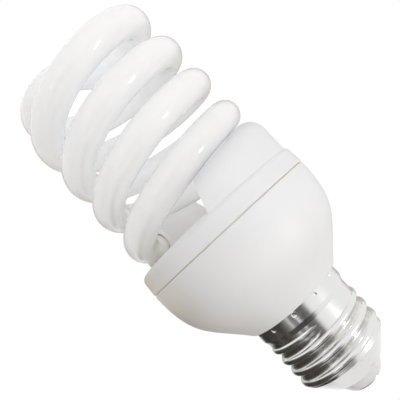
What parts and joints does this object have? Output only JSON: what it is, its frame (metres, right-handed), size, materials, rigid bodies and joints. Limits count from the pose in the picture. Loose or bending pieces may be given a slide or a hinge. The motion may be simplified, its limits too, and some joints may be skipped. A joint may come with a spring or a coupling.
{
  "type": "spiral energy saving bulb",
  "caption": "Compact fluorescent lamp with a white double-spiral glass tube, a white bowl-shaped plastic housing holding the ballast, and a threaded metal screw cap.",
  "frame": {"origin": "centre of the end contact's flat tip", "axes": "+Z along the lamp's axis from the end contact to the spiral's top; -Y is the side seen in the picture; +X is to the right of that side"},
  "size_m": [0.051, 0.051, 0.1129],
  "materials": {
    "coated_glass": "gloss",
    "white_plastic": "satin",
    "nickel": "polished",
    "contact_metal": "satin",
    "insulator": "gloss",
    "cement": "matte",
    "board": "matte",
    "ferrite": "matte",
    "copper_wire": "gloss",
    "bobbin_plastic": "matte",
    "black_epoxy": "matte",
    "capacitor_sleeve": "gloss",
    "film_epoxy": "gloss",
    "resistor_paint": "matte",
    "tinned_wire": "satin",
    "wire_sleeve": "satin"
  },
  "bodies": {
    "root": {"glass_spiral": "coated_glass", "upper_cover": "white_plastic", "lower_housing": "white_plastic", "screw_shell": "nickel", "cap_insulator": "insulator", "centre_contact": "contact_metal", "tube_cement": "cement", "circuit_board": "board", "bulk_capacitor": "capacitor_sleeve", "choke_core": "ferrite", "choke_bobbin": "bobbin_plastic", "choke_winding": "copper_wire", "drive_toroid": "ferrite", "toroid_windings": "copper_wire", "power_transistors": "black_epoxy", "rectifier_diodes": "black_epoxy", "resistors": "resistor_paint", "diac": "film_epoxy", "fusible_resistor": "resistor_paint", "resonant_capacitor": "film_epoxy", "starting_capacitor": "film_epoxy", "filter_choke": "ferrite", "ptc_thermistor": "resistor_paint", "wrap_pins": "tinned_wire", "tube_leads": "tinned_wire", "contact_wire": "wire_sleeve", "shell_wire": "wire_sleeve"}
  },
  "joints": []
}
